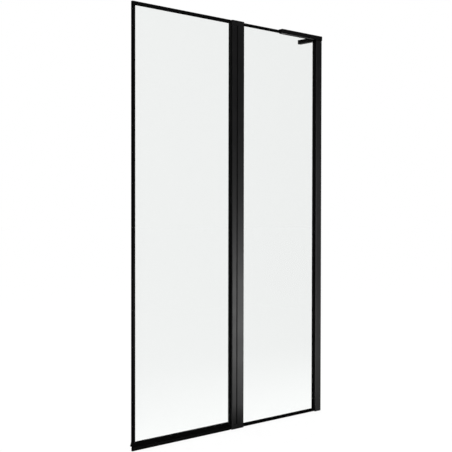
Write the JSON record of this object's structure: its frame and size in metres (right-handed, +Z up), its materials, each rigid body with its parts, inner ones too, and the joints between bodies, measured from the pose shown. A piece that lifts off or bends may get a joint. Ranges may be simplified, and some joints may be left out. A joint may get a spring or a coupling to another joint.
{
  "type": "bath screen",
  "caption": "Wall-mounted bath screen in black-framed clear glass: a fixed pane with a corner stabiliser bar and a pane that swings in on a pivot post, with a wiper and drip seal below.",
  "frame": {"origin": "bottom end of the wall profile's wall face, in the middle plane of the glass", "axes": "+Z up, +X from the screen into the wall, +Y from the room towards the bath"},
  "size_m": [0.87, 0.113, 1.402],
  "materials": {
    "black_powder_coat": "matte",
    "black_anodised": "satin",
    "black_cast": "matte",
    "black_steel": "satin",
    "steel": "satin",
    "clear_glass": "gloss",
    "black_rubber": "matte",
    "black_pvc": "satin",
    "black_plastic": "matte",
    "grey_plastic": "matte",
    "white_plastic": "satin"
  },
  "bodies": {
    "frame": {"wall_profile": "black_powder_coat", "wall_profile_cap": "black_plastic", "wall_stile": "black_powder_coat", "profile_screws": "steel", "profile_screw_covers": "black_plastic", "fixed_glass": "clear_glass", "fixed_glazing_gaskets": "black_rubber", "fixed_top_trim": "black_anodised", "fixed_bottom_trim": "black_anodised", "fixed_setting_blocks": "grey_plastic", "hinge_post": "black_powder_coat", "hinge_gap_seal": "black_rubber", "hinge_top_cap": "black_cast", "hinge_bottom_cap": "black_cast", "hinge_cap_screws": "black_steel", "pivot_pin_top": "steel", "pivot_pin_bottom": "steel", "thrust_washer": "white_plastic", "stabiliser_rail": "black_powder_coat", "stabiliser_liner": "black_rubber", "stabiliser_grub_screws": "black_steel", "stabiliser_wall_leg": "black_powder_coat", "stabiliser_leg_covers": "black_plastic", "stabiliser_corner_screw": "steel"},
    "swing_panel": {"hinge_stile": "black_powder_coat", "stile_top_plug": "black_plastic", "stile_bottom_plug": "black_plastic", "stile_plug_screws": "black_steel", "pivot_bush_top": "white_plastic", "pivot_bush_bottom": "white_plastic", "swing_glass": "clear_glass", "swing_top_trim": "black_anodised", "free_edge_trim": "black_anodised", "swing_glazing_gaskets": "black_rubber", "seal_carrier": "black_pvc", "seal_end_plug": "black_pvc", "wiper_blade": "black_rubber"}
  },
  "joints": [
    {"name": "panel_swing", "type": "hinge", "parent": "frame", "child": "swing_panel", "pos_m": [-0.4425, 0.0045, 0.7], "axis": [0, 0, -1], "range_deg": [0, 90]}
  ]
}
